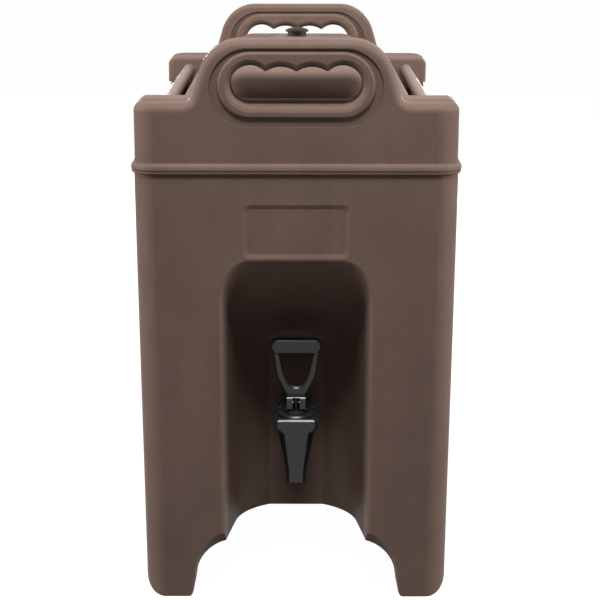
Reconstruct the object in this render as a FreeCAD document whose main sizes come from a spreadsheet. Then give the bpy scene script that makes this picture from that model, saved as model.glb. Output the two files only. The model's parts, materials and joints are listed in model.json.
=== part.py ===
import FreeCAD, Part
import os
import re
import Sketcher
from FreeCAD import Placement, Rotation, Vector

# Insulated beverage dispenser: a foam-filled plastic container with a lift-off lid,
# two full-length side latches, a vent in the lid and a self-closing tap in a front recess.
# Millimetres. +Z is up, the tap faces -Y, and the origin is the centre of the footprint.

SIZES = {
    # Container, outside
    "top_width": 257.5,
    "top_depth": 419,
    "ledge_step": 0.7,
    "draft_angle": 0.5,
    "corner_radius": 18,
    "foot_corner_radius": 16,
    "rim_height": 391,
    "rim_rise": 21,
    "latch_channel": 24.25,
    "bead_drop": 9.6,
    "bead_low_height": 3.1,
    "bead_low_reach": 2.6,
    "bead_foot_radius": 1.6,
    "bead_crease_radius": 0.7,
    "bead_high_height": 7.5,
    "bead_reach": 3,
    "bead_top_radius": 6.5,
    "shoulder_rise": 25,
    "end_wall": 28.5,
    "shell_wall": 4,
    "edge_radius": 6.5,
    "inner_edge_radius": 3.5,
    "overlap": 10,
    # Handles moulded in the end walls
    "handle_rise": 49.8,
    "handle_top_width": 137.6,
    "handle_root_width": 167,
    "handle_corner_radius": 34,
    "handle_root_radius": 9,
    "grip_width": 103.6,
    "grip_drop": 51.1,
    "grip_radius": 16,
    "grip_roll_radius": 6,
    "finger_pitch": 24.4,
    "finger_depth": 4,
    "finger_ridge_rise": 10.2,
    "finger_ridge_radius": 2.8,
    "band_width": 136.6,
    "band_drop": 16.9,
    "band_height": 61.6,
    "band_depth": 1.5,
    "collar_reach": 10,
    "collar_height": 2.6,
    "collar_radius": 2.5,
    # Arch under the container
    "base_height": 50,
    "arch_floor_width": 172.8,
    "arch_width": 167.8,
    "arch_radius": 34,
    "flare_depth": 6,
    "flare_rise": 12.4,
    "flare_spread": 0.8,
    "flare_radius": 40,
    "foot_edge_radius": 3.5,
    # Tap recess in the front
    "recess_radius": 52.6,
    "recess_flare": 9.4,
    "recess_pad_depth": 86.5,
    "recess_pad_width": 47,
    "recess_top": 290.4,
    "recess_roof_angle": 42.5,
    "recess_roof_radius": 27,
    "recess_lip_radius": 3.6,
    # Bare label panel
    "label_width": 85.6,
    "label_height": 43.5,
    "label_rise": 24.3,
    "label_depth": 1.1,
    "label_border": 3.6,
    "label_radius": 5,
    # Tank
    "tank_side_inset": 22.5,
    "tank_end_inset": 44.5,
    "tank_floor_gap": 62,
    "tank_front_gap": 131.5,
    "tank_step_front": 55,
    "tank_step_back": 28,
    "tank_corner_radius": 18,
    "tank_floor_radius": 3.5,
    "tank_wall": 4,
    "flange_side": 15,
    "flange_end": 12,
    "flange_corner_radius": 24,
    # Lid
    "lid_seat_gap": 1.5,
    "lid_side_inset": 0.25,
    "lid_end_gap": 3,
    "lid_end_depth": 28,
    "lid_end_height": 24,
    "lid_end_corner_radius": 7,
    "lid_end_edge_radius": 3,
    "plateau_inset": 10.5,
    "plateau_height": 22,
    "plateau_edge_radius": 5,
    "dome_width": 132,
    "dome_inset": 4,
    "dome_rise": 49,
    "dome_corner_radius": 26,
    "dome_edge_radius": 22,
    "boss_rise": 11,
    "boss_top_radius": 21,
    "boss_foot_radius": 30,
    "boss_edge_radius": 3,
    "lid_wall": 3.5,
    "plug_gap": 4,
    "plug_drop": 15.5,
    "plug_wall": 3,
    "plug_corner_radius": 16,
    "gasket_width": 7,
    "gasket_inset": 1,
    # Vent in the lid
    "vent_bore_radius": 5.2,
    "vent_tube_wall": 3,
    "vent_stem_radius": 4.5,
    "vent_foot_radius": 6.5,
    "vent_foot_height": 3,
    "vent_travel": 6.2,
    "vent_cap_radius": 10.2,
    "vent_neck_radius": 8.6,
    "vent_cap_height": 6.3,
    "vent_rim_height": 1.5,
    "vent_seal_height": 1.2,
    "vent_seal_radius": 8,
    # Side latches
    "latch_end_inset": 64.5,
    "latch_stand_off": 3,
    "latch_axis_rise": 13.8,
    "latch_barrel_radius": 5.8,
    "latch_face_inset": 1.1,
    "latch_plate": 4.4,
    "latch_drop": 19.2,
    "latch_lip_reach": 4.5,
    "latch_end_radius": 2.5,
    "rod_radius": 2.5,
    "rod_clearance": 0.1,
    "rod_seat_depth": 6,
    "catch_end_inset": 10,
    "catch_reach": 3.2,
    "catch_drop": 3,
    "catch_slope": 4.5,
    "catch_nose": 2,
    "catch_undercut": 5.2,
    "hook_clearance": 0.9,
    "hook_gap": 0.8,
    # Tap body
    "tap_forward": 42,
    "shank_rise": 22.4,
    "shank_radius": 10.5,
    "shank_clearance": 0.4,
    "shank_bore_radius": 6,
    "shank_length": 69,
    "washer_radius": 21.2,
    "washer_height": 3,
    "tap_flange_radius": 18,
    "tap_flange_height": 4,
    "tap_barrel_radius": 10.8,
    "tank_gasket_height": 3,
    "tank_gasket_radius": 16,
    "shank_nut_height": 10,
    "shank_nut_radius": 17,
    "spout_drop": 45,
    "spout_tip_height": 11.2,
    "spout_rim_height": 6.7,
    "spout_rim_slope": 6,
    "spout_rise": 13.5,
    "spout_tip_width": 16.8,
    "spout_neck_width": 17.6,
    "spout_flare_width": 29.6,
    "spout_rim_width": 34.2,
    "spout_rim_corner": 1.4,
    "spout_rim_edge": 1.2,
    "spout_chamfer": 0.165,
    "spout_bore_radius": 5.5,
    "chamber_radius": 10.5,
    "seat_drop": 16,
    # Bonnet, stem, seat cup and spring
    "bonnet_radius": 15.8,
    "bonnet_base": 2.6,
    "bonnet_boss_radius": 10.5,
    "bonnet_boss": 2.6,
    "bonnet_skirt": 3.4,
    "bonnet_skirt_wall": 2,
    "bonnet_seal_radius": 12.2,
    "bonnet_seal_height": 1.2,
    "stem_radius": 2.8,
    "stem_clearance": 0.08,
    "stem_rise": 4,
    "stem_collar_radius": 7,
    "stem_collar_height": 1.5,
    "cup_radius": 8.2,
    "cup_floor": 2.5,
    "cup_height": 5,
    "spring_radius": 5.6,
    "spring_wire": 0.6,
    "spring_turns": 6,
    # Lever
    "pin_rise": 11,
    "pin_radius": 1.6,
    "pin_clearance": 0.08,
    "heel_clearance": 0.3,
    "heel_rise": 4.5,
    "lever_tilt": 40,
    "yoke_width": 15.6,
    "yoke_rise": 6.5,
    "yoke_back": 6,
    "yoke_slot_clearance": 0.3,
    "yoke_bridge": 0.6,
    "bar_width": 43.8,
    "bar_rise": 42.9,
    "bar_height": 12.9,
    "bar_depth": 10,
    "bar_edge_radius": 3,
    "arm_depth": 7,
    "arm_edge": 1.5,
    "arm_bend_width": 32.4,
    "arm_bend_rise": 23.5,
    "arm_top_width": 38.6,
    "loop_top_width": 27,
    "loop_corner_width": 23.2,
    "loop_corner_rise": 33.6,
    "loop_side_width": 17.8,
    "loop_side_rise": 22.9,
    "loop_foot_width": 12,
    "loop_foot_rise": 16.7,
    "loop_rise": 13.9,
}

# Sizes that follow from the ones above
FOLLOWING = {
    "ledge_height": "rim_height - rim_rise",
    "shoulder_height": "rim_height + shoulder_rise",
    "handle_height": "shoulder_height + handle_rise",
    "grip_bottom": "handle_height - grip_drop",
    "band_bottom": "grip_bottom - band_drop",
    "base_width": "top_width + 2 * ledge_step - 2 * ledge_height * tan(draft_angle)",
    "base_depth": "top_depth + 2 * ledge_step - 2 * ledge_height * tan(draft_angle)",
    "rim_width": "top_width - 2 * latch_channel",
    "label_middle": "recess_top + label_rise",
    "tank_width": "rim_width - 2 * tank_side_inset",
    "tank_depth": "top_depth - 2 * tank_end_inset",
    "tank_floor": "base_height + tank_floor_gap",
    "flange_width": "tank_width + 2 * flange_side",
    "flange_depth": "tank_depth + 2 * flange_end",
    "lid_width": "top_width - 2 * lid_side_inset",
    "plateau_width": "rim_width - 2 * plateau_inset",
    "dome_depth": "top_depth - 2 * (end_wall + lid_end_gap + dome_inset)",
    "dome_top": "rim_height + dome_rise",
    "boss_top": "dome_top + boss_rise",
    "plug_width": "tank_width - 2 * plug_gap",
    "plug_depth": "tank_depth - 2 * plug_gap",
    "latch_length": "top_depth - 2 * latch_end_inset",
    "latch_axis_x": "rim_width / 2 + latch_stand_off",
    "latch_axis_height": "rim_height + latch_axis_rise",
    "latch_inner_face": "latch_axis_x + latch_face_inset",
    "latch_outer_face": "latch_inner_face + latch_plate",
    "latch_bottom": "rim_height - latch_drop",
    "catch_length": "latch_length - 2 * catch_end_inset",
    "catch_top": "rim_height - catch_drop",
    "catch_nose_high": "catch_top - catch_slope",
    "catch_nose_low": "catch_nose_high - catch_nose",
    "catch_foot": "catch_nose_low - catch_undercut",
    "shank_height": "tank_floor + shank_rise",
    "spout_bottom": "shank_height - spout_drop",
    "spout_neck": "spout_bottom + spout_tip_height",
    "spout_top": "shank_height + spout_rise",
    "spout_shoulder": "spout_top - spout_rim_height",
    "seat_height": "shank_height - seat_drop",
    "stem_bottom": "seat_height + cup_floor",
    "pin_height": "spout_top + pin_rise",
    "stem_top": "pin_height + stem_rise",
    "yoke_top": "pin_height + yoke_rise",
    "yoke_slot_top": "yoke_top - yoke_bridge",
    "bar_bottom": "pin_height + bar_rise",
    "arm_bend_height": "pin_height + arm_bend_rise",
    "loop_corner_height": "pin_height + loop_corner_rise",
    "loop_side_height": "pin_height + loop_side_rise",
    "loop_foot_height": "pin_height + loop_foot_rise",
    "loop_bottom": "pin_height + loop_rise",
}

doc = FreeCAD.newDocument("beverage_dispenser")
sheet = doc.addObject("Spreadsheet::Sheet", "Sizes")
for row, (alias, number) in enumerate(SIZES.items(), 1):
    sheet.set("A%d" % row, alias)
    sheet.set("B%d" % row, str(number))
    sheet.setAlias("B%d" % row, alias)
doc.recompute()


def tied(text):
    """The expression with each alias written as a cell of the sheet and each following size written out."""

    def written_out(match):
        name = match.group()
        if name in FOLLOWING:
            return "(%s)" % tied(FOLLOWING[name])
        return "Sizes." + name if name in SIZES else name

    return re.sub(r"[a-z_]+", written_out, str(text))


def value(text):
    """The number that an expression on the sheet gives."""
    return float(sheet.evalExpression(tied(text)))


def bind(thing, **expressions):
    """Ties properties of an object to expressions; a double underscore stands for a dot."""
    for name, text in expressions.items():
        thing.setExpression(name.replace("__", "."), tied(text))
    return thing


# Booleans and primitives


def combined(kind, name, shapes):
    thing = doc.addObject(kind, name)
    thing.Shapes = shapes
    doc.recompute()
    return thing


def fused(name, *shapes):
    return combined("Part::MultiFuse", name, list(shapes))


def shared(name, *shapes):
    return combined("Part::MultiCommon", name, list(shapes))


def cut(name, base, *tools):
    thing = doc.addObject("Part::Cut", name)
    thing.Base = base
    thing.Tool = tools[0] if len(tools) == 1 else fused(name + "_tools", *tools)
    doc.recompute()
    return thing


def box(name, width, low_y, high_y, bottom, top):
    """A box centred on X = 0."""
    thing = doc.addObject("Part::Box", name)
    bind(thing, Length=width, Width="(%s) - (%s)" % (high_y, low_y), Height="(%s) - (%s)" % (top, bottom))
    bind(thing, Placement__Base__x="-(%s) / 2" % width, Placement__Base__y=low_y, Placement__Base__z=bottom)
    return thing


def rod(name, radius, length, x="0", y="0", z="0", along="Z"):
    """A cylinder that starts at a point and runs along an axis, or against it with a minus sign."""
    turns = {"Z": Rotation(), "Y": Rotation(Vector(1, 0, 0), -90), "X": Rotation(Vector(0, 1, 0), 90)}
    thing = doc.addObject("Part::Cylinder", name)
    thing.Placement = Placement(Vector(), turns[along])
    bind(thing, Radius=radius, Height=length)
    bind(thing, Placement__Base__x=x, Placement__Base__y=y, Placement__Base__z=z)
    return thing


def copy_of(name, source):
    """A second object with the same shape, for an assembly that holds two."""
    thing = doc.addObject("Part::Compound", name)
    thing.Links = [source]
    doc.recompute()
    return thing


# Sketches and their features


def pin_point(sketch, geometry, point, x, y):
    """Ties one end of a sketch edge to a place measured from the origin."""
    for kind, text, axis in (("DistanceX", x, -2), ("DistanceY", y, -1)):
        number = value(text)
        if abs(number) < 1e-9:
            sketch.addConstraint(Sketcher.Constraint("PointOnObject", geometry, point, axis))
        else:
            index = sketch.addConstraint(Sketcher.Constraint(kind, -1, 1, geometry, point, number))
            sketch.setExpression("Constraints[%d]" % index, tied(text))


def sketch_on(body, name, plane, offset="0"):
    """An empty sketch on an origin plane of the body, moved along that plane's normal."""
    sketch = body.newObject("Sketcher::SketchObject", name)
    role = plane + "_Plane"
    sketch.AttachmentSupport = (next(f for f in body.Origin.OriginFeatures if f.Role == role), [""])
    sketch.MapMode = "FlatFace"
    bind(sketch, AttachmentOffset__Base__z=offset)
    return sketch


def draw(sketch, steps):
    """A closed outline: each step is (x, y) for a line or (x, y, middle x, middle y) for an arc."""
    places = [Vector(value(s[0]), value(s[1]), 0) for s in steps]
    for number, step in enumerate(steps):
        before, here = (steps[number - 1], places[number - 1]), (step, places[number])
        if len(step) == 2:
            edge = Part.LineSegment(before[1], here[1])
        else:
            middle = Vector(value(step[2]), value(step[3]), 0)
            if (middle - before[1]).cross(here[1] - middle).z < 0:
                before, here = here, before
            edge = Part.Arc(before[1], middle, here[1])
        index = sketch.addGeometry(edge)
        pin_point(sketch, index, 1, before[0][0], before[0][1])
        pin_point(sketch, index, 2, here[0][0], here[0][1])
        if len(step) == 4:
            dot = sketch.addGeometry(Part.Point(middle), True)
            pin_point(sketch, dot, 1, step[2], step[3])
            sketch.addConstraint(Sketcher.Constraint("PointOnObject", dot, 1, index))
    return sketch


def mirrored(half):
    """The whole outline from its right half, given from the bottom to the top."""
    left = []
    for number in range(len(half) - 1, -1, -1):
        x, y = half[number][:2]
        follower = half[number + 1] if number + 1 < len(half) else (x, y)
        middle = ("-(%s)" % follower[2], follower[3]) if len(follower) == 4 else ()
        left.append(("-(%s)" % x, y) + middle)
    return half + left


def rectangle(width, depth):
    return mirrored([("(%s) / 2" % width, "-(%s) / 2" % depth), ("(%s) / 2" % width, "(%s) / 2" % depth)])


def feature(body, kind, name, sketch, **expressions):
    """A sketch-based feature whose sizes are tied to the sheet."""
    thing = body.newObject("PartDesign::" + kind, name)
    thing.Profile = sketch
    bind(thing, **expressions)
    sketch.Visibility = False
    doc.recompute()
    return thing


def new_body(name, base=None):
    body = doc.addObject("PartDesign::Body", name)
    if base is not None:
        body.BaseFeature = base
    doc.recompute()
    return body


def prism(name, plane, steps, length, offset="0", draft="0", both_ways=False):
    """A body padded from one outline."""
    body = new_body(name)
    sketch = draw(sketch_on(body, name + "_outline", plane, offset), steps)
    pad = feature(body, "Pad", name + "_pad", sketch, Length=length)
    pad.Midplane = both_ways
    if draft != "0":
        bind(pad, TaperAngle=draft)
    doc.recompute()
    return body


def turned(name, steps, plane="XZ"):
    """A body turned about the vertical axis of its outline."""
    body = new_body(name)
    sketch = draw(sketch_on(body, name + "_outline", plane), steps)
    spin = body.newObject("PartDesign::Revolution", name + "_turn")
    spin.Profile = sketch
    spin.ReferenceAxis = (sketch, ["V_Axis"])
    spin.Angle = 360
    doc.recompute()
    return body


def edges_of(shape, wanted):
    """Names of the edges whose middle point and direction there pass a test."""
    names = []
    for number, edge in enumerate(shape.Edges, 1):
        half_way = (edge.FirstParameter + edge.LastParameter) / 2
        if wanted(edge.valueAt(half_way), edge.tangentAt(half_way)):
            names.append("Edge%d" % number)
    return names


def rounded(body, radius, wanted):
    """A fillet on the edges of a body's last feature that pass a test."""
    names = edges_of(body.Tip.Shape, wanted)
    if not names:
        raise ValueError("no edge to round on " + body.Name)
    fillet = body.newObject("PartDesign::Fillet", body.Name + "_round")
    fillet.Base = (body.Tip if body.Tip != fillet else body.Group[-2], names)
    bind(fillet, Radius=radius)
    doc.recompute()
    return body


def upright(_, direction):
    return abs(direction.z) > 0.9


def close(number, text, reach=0.05):
    return abs(number - value(text)) < reach


# Container: outside form


def foot_block(name, grow):
    """The drafted lower block with rounded foot corners, larger all round by grow."""
    half = "base_width / 2 + (%s)" % grow
    top = "ledge_height + (%s)" % grow
    block = prism(name + "_block", "XY", rectangle("base_width + 2 * (%s)" % grow, "base_depth + 2 * (%s)" % grow),
                  top, draft="draft_angle")
    rounded(block, "corner_radius + (%s)" % grow, upright)
    radius = "(foot_corner_radius + (%s))" % grow
    corner = "0.29289 * " + radius
    profile = prism(name + "_profile", "XZ", mirrored([
        ("%s - %s" % (half, radius), "-(%s)" % grow),
        (half, "%s - (%s)" % (radius, grow), "%s - %s" % (half, corner), "%s - (%s)" % (corner, grow)),
        ("top_width / 2 + overlap", top),
    ]), "base_depth + 2 * overlap", both_ways=True)
    return shared(name, block, profile)


def bead(name, bottom, height, reach, low_radius, high_radius):
    """One of the two rolls of the bead that runs all round the container at its ledge."""
    body = prism(name, "XY", rectangle("top_width + 2 * " + reach, "top_depth + 2 * " + reach), height, offset=bottom)
    rounded(body, "corner_radius + " + reach, upright)
    rounded(body, low_radius, lambda m, d: close(m.z, bottom))
    return rounded(body, high_radius, lambda m, d: close(m.z, "%s + %s" % (bottom, height)))


def grip_outline():
    """The grip opening: a flat bottom, round ends and finger hollows along the top."""
    end = "(grip_width / 2 - grip_radius)"
    middle = "(grip_bottom + grip_radius)"
    ridge = "(%s + finger_ridge_rise)" % middle
    return mirrored([
        (end, "grip_bottom"),
        ("finger_pitch", ridge, "grip_width / 2", middle),
    ])[:2] + [
        ("0", ridge, "finger_pitch / 2", "%s + finger_depth" % ridge),
        ("-finger_pitch", ridge, "-finger_pitch / 2", "%s + finger_depth" % ridge),
        ("-%s" % end, "grip_bottom", "-grip_width / 2", middle),
    ]


def stadium(width, bottom, height):
    """A long round-ended outline, centred on X = 0."""
    end = "((%s) / 2 - (%s) / 2)" % (width, height)
    middle = "(%s) + (%s) / 2" % (bottom, height)
    top = "(%s) + (%s)" % (bottom, height)
    return [
        ("-" + end, top),
        ("-" + end, bottom, "-(%s) / 2" % width, middle),
        (end, bottom),
        (end, top, "(%s) / 2" % width, middle),
    ]


def end_wall(name, turn):
    """One end wall with its handle, built at the front and turned into place."""
    inner = "top_depth / 2 - end_wall"
    body = prism(name, "XZ", mirrored([
        ("top_width / 2", "ledge_height - bead_drop / 2"),
        ("top_width / 2", "shoulder_height"),
        ("handle_root_width / 2", "shoulder_height"),
        ("handle_top_width / 2", "handle_height"),
    ]), "end_wall", offset=inner)
    rounded(body, "corner_radius", lambda m, d: upright(m, d) and close(m.y, "-top_depth / 2")
            and close(abs(m.x), "top_width / 2"))
    rounded(body, "handle_root_radius", lambda m, d: abs(d.y) > 0.9 and close(m.z, "shoulder_height")
            and close(abs(m.x), "handle_root_width / 2"))
    rounded(body, "handle_corner_radius", lambda m, d: abs(d.y) > 0.9 and close(m.z, "handle_height"))
    rounded(body, "edge_radius", lambda m, d: close(m.z, "handle_height") and close(m.y, "-top_depth / 2"))
    rounded(body, "inner_edge_radius", lambda m, d: close(m.z, "handle_height") and close(m.y, "-(%s)" % inner))
    opening_height = "2 * grip_radius"
    for side, plane_offset, outward in (("out", "top_depth / 2", False), ("in", inner, True)):
        band = draw(sketch_on(body, "%s_band_%s" % (name, side), "XZ", plane_offset),
                    stadium("band_width", "band_bottom", "band_height"))
        pocket = feature(body, "Pocket", "%s_pocket_%s" % (name, side), band, Length="band_depth")
        pocket.Reversed = outward
        floor = "%s %s band_depth" % (plane_offset, "+" if outward else "-")
        collar = draw(sketch_on(body, "%s_collar_%s" % (name, side), "XZ", floor),
                      stadium("grip_width + 2 * collar_reach", "grip_bottom - collar_reach",
                              opening_height + " + 2 * collar_reach"))
        pad = feature(body, "Pad", "%s_raise_%s" % (name, side), collar, Length="collar_height")
        pad.Reversed = outward
        doc.recompute()
    opening = prism(name + "_grip", "XZ", grip_outline(), "2 * end_wall", offset=inner + " - end_wall / 2")
    rounded(opening, "finger_ridge_radius", lambda m, d: abs(d.y) > 0.9 and m.z > value("grip_bottom + grip_radius"))
    near = "(top_depth / 2 + collar_height - band_depth)"
    far = "(%s - collar_height + band_depth)" % inner
    holed = cut(name + "_holed", body, opening, *grip_roll(name, near, far))
    final = new_body(name + "_body", holed)
    rounded(final, "collar_radius", lambda m, d: (close(-m.y, near, 0.01) or close(-m.y, far, 0.01))
            and not inside_grip(m))
    final.Placement = Placement(Vector(), Rotation(Vector(0, 0, 1), turn))
    doc.recompute()
    return final


def grip_roll(name, near, far):
    """Flaring cuts that follow the finger hollows and leave a rounded roll round both mouths of the grip."""
    flares = []
    for angle in (70, 45, 22.5):
        depth = "(grip_roll_radius * (1 - (1 - sin(%s)) / cos(%s)))" % (angle, angle)
        for side, plane, turn in (("out", "%s - %s" % (near, depth), 0), ("in", "-(%s + %s)" % (far, depth), 180)):
            flare = prism("%s_roll_%s_%d" % (name, side, angle), "XZ", grip_outline(), depth + " + 1", offset=plane,
                          draft="90 - %s" % angle)
            flare.Placement = Placement(Vector(), Rotation(Vector(0, 0, 1), turn))
            flares.append(flare)
    doc.recompute()
    return flares


def inside_grip(place):
    """Whether a point in a handle's face lies on the grip opening rather than on its collar."""
    margin = value("collar_reach / 2")
    return (abs(place.x) < value("grip_width / 2") + margin and
            abs(place.z - value("grip_bottom + grip_radius")) < value("grip_radius") + margin)


def catch(name, side):
    """The moulded ridge on the side of the rim that a latch hooks under."""
    face = "rim_width / 2"
    steps = [
        (face + " - 2", "catch_foot - 3.25"),
        (face, "catch_foot"),
        (face + " + catch_reach", "catch_nose_low"),
        (face + " + catch_reach", "catch_nose_high"),
        (face, "catch_top"),
        (face + " - 2", "catch_top"),
    ]
    return prism(name, "XZ", [("%s(%s)" % (side, x), z) for x, z in steps], "catch_length", both_ways=True)


def recess(name, grow):
    """The space of the tap recess: a round-backed trough with a sloping roof and a flat tap pad."""
    radius = "(recess_radius + (%s))" % grow
    half_pad = "(recess_pad_width / 2)"
    middle = "(-top_depth / 2 + recess_pad_depth - sqrt(recess_radius ^ 2 - %s ^ 2))" % half_pad
    front = "(-top_depth / 2 - overlap)"
    turning = "(%s + %s * sin(recess_flare))" % (middle, radius)
    back_half = "(%s * cos(recess_flare))" % radius
    front_half = "(%s + (%s - %s) * tan(recess_flare))" % (back_half, turning, front)
    trough = prism(name + "_trough", "XY", [
        ("-" + front_half, front),
        (front_half, front),
        (back_half, turning),
        ("-" + back_half, turning, "0", "%s + %s" % (middle, radius)),
    ], "recess_top + 3 * overlap", offset="-overlap")
    top = "(recess_top + (%s) / cos(recess_roof_angle))" % grow
    back = "(%s + %s + overlap)" % (middle, radius)
    roof = prism(name + "_roof", "YZ", [
        (front, "-2 * overlap"),
        (back, "-2 * overlap"),
        (back, "%s - (%s + top_depth / 2) * tan(recess_roof_angle)" % (top, back)),
        (front, "%s + overlap * tan(recess_roof_angle)" % top),
    ], "4 * recess_radius", both_ways=True)
    hooded = new_body(name + "_hood", shared(name + "_rough", trough, roof))
    slope = value("tan(recess_roof_angle)")
    roof_at = value(top)

    def on_roof(m, d):
        return abs(m.z - (roof_at - (m.y + value("top_depth / 2")) * slope)) < 0.01 and m.y > value(front) + 1

    rounded(hooded, "recess_roof_radius + (%s)" % grow, on_roof)
    keep = box(name + "_keep", "4 * recess_radius", front, "-top_depth / 2 + recess_pad_depth + (%s)" % grow,
               "-2 * overlap", "recess_top + 4 * overlap")
    return shared(name, hooded, keep)


def arch_outline(grow, top, radius):
    """The arch's outline: leaning sides, rounded upper corners and a flat top."""
    half = "(arch_width / 2 + (%s))" % grow
    top = "(%s + (%s))" % (top, grow)
    radius = "(%s + (%s))" % (radius, grow)
    floor_half = "(arch_floor_width / 2 + (%s))" % grow
    return mirrored([
        (floor_half + " + foot_edge_radius", "-overlap"),
        (floor_half + " + foot_edge_radius", "0"),
        (floor_half, "foot_edge_radius", floor_half + " + 0.29289 * foot_edge_radius", "0.29289 * foot_edge_radius"),
        (half, "%s - %s" % (top, radius)),
        ("%s - %s" % (half, radius), top, "%s - 0.29289 * %s" % (half, radius), "%s - 0.29289 * %s" % (top, radius)),
    ])


def arch(name, grow):
    """The space between the two side runners, with a wider mouth at the front and the back."""
    narrow = arch_outline(grow, "base_height", "arch_radius")
    wide = arch_outline("%s + flare_spread" % grow, "base_height + flare_rise - flare_spread", "flare_radius")
    pieces = [prism(name + "_tunnel", "XZ", narrow, "base_depth + 4 * overlap", both_ways=True)]
    for side, turn in (("front", 0), ("rear", 180)):
        mouth = new_body("%s_mouth_%s" % (name, side))
        face = "base_depth / 2 + 1 - (%s)" % grow
        inner = draw(sketch_on(mouth, "%s_inner_%s" % (name, side), "XZ", face + " - flare_depth"), narrow)
        outer = draw(sketch_on(mouth, "%s_outer_%s" % (name, side), "XZ", face), wide)
        loft = mouth.newObject("PartDesign::AdditiveLoft", "%s_loft_%s" % (name, side))
        loft.Profile = inner
        loft.Sections = [outer]
        loft.Ruled = True
        mouth.Placement = Placement(Vector(), Rotation(Vector(0, 0, 1), turn))
        doc.recompute()
        pieces.append(mouth)
    return fused(name, *pieces)


def tank(name, grow):
    """The tank's space, deep behind the recess and running forward above it."""
    front = "(-tank_depth / 2 - (%s))" % grow
    back = "(tank_depth / 2 + (%s))" % grow
    lower_front = "(-top_depth / 2 + tank_front_gap - (%s))" % grow
    top = "rim_height + overlap"
    body = prism(name, "YZ", [
        (lower_front, "tank_floor - (%s)" % grow),
        (back, "tank_floor - (%s)" % grow),
        (back, top),
        (front, top),
        (front, "recess_top + tank_step_front - (%s)" % grow),
        (lower_front, "recess_top + tank_step_back - (%s)" % grow),
    ], "tank_width + 2 * (%s)" % grow, both_ways=True)
    rounded(body, "tank_corner_radius + (%s)" % grow, upright)
    return rounded(body, "tank_floor_radius + (%s)" % grow, lambda m, d: close(m.z, "tank_floor - (%s)" % grow))


def rim_prism(name, width, depth, radius, bottom, top):
    """An upright rounded rectangle centred on the axis."""
    body = prism(name, "XY", rectangle(width, depth), "(%s) - (%s)" % (top, bottom), offset=bottom)
    return rounded(body, radius, upright)


def rounded_panel(grow):
    """A rounded rectangle about the sketch's origin, for the label panel."""
    half = "(label_width / 2 + (%s))" % grow
    rise = "(label_height / 2 + (%s))" % grow
    radius = "label_radius"
    corner = "0.29289 * " + radius
    return mirrored([
        ("%s - %s" % (half, radius), "-" + rise),
        (half, "-%s + %s" % (rise, radius), "%s - %s" % (half, corner), "-%s + %s" % (rise, corner)),
        (half, "%s - %s" % (rise, radius)),
        ("%s - %s" % (half, radius), rise, "%s - %s" % (half, corner), "%s - %s" % (rise, corner)),
    ])


def label_panel():
    """The shallow bare panel with sloping borders, square to the drafted front."""
    body = new_body("label_panel")
    floor = draw(sketch_on(body, "label_floor", "XZ", "-label_depth"), rounded_panel("-label_border"))
    face = draw(sketch_on(body, "label_face", "XZ"), rounded_panel("0"))
    above = draw(sketch_on(body, "label_above", "XZ", "label_depth"), rounded_panel("label_border"))
    loft = body.newObject("PartDesign::AdditiveLoft", "label_loft")
    loft.Profile = floor
    loft.Sections = [face, above]
    loft.Ruled = True
    body.Placement = Placement(Vector(), Rotation(Vector(1, 0, 0), 1))
    bind(body, Placement__Base__y="-base_depth / 2 - label_middle * tan(draft_angle)",
         Placement__Base__z="label_middle", Placement__Rotation__Angle="draft_angle")
    doc.recompute()
    return body


def shank_hole(name):
    return rod(name, "shank_radius + shank_clearance", "tank_front_gap", y="-top_depth / 2", z="shank_height",
               along="Y")


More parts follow.
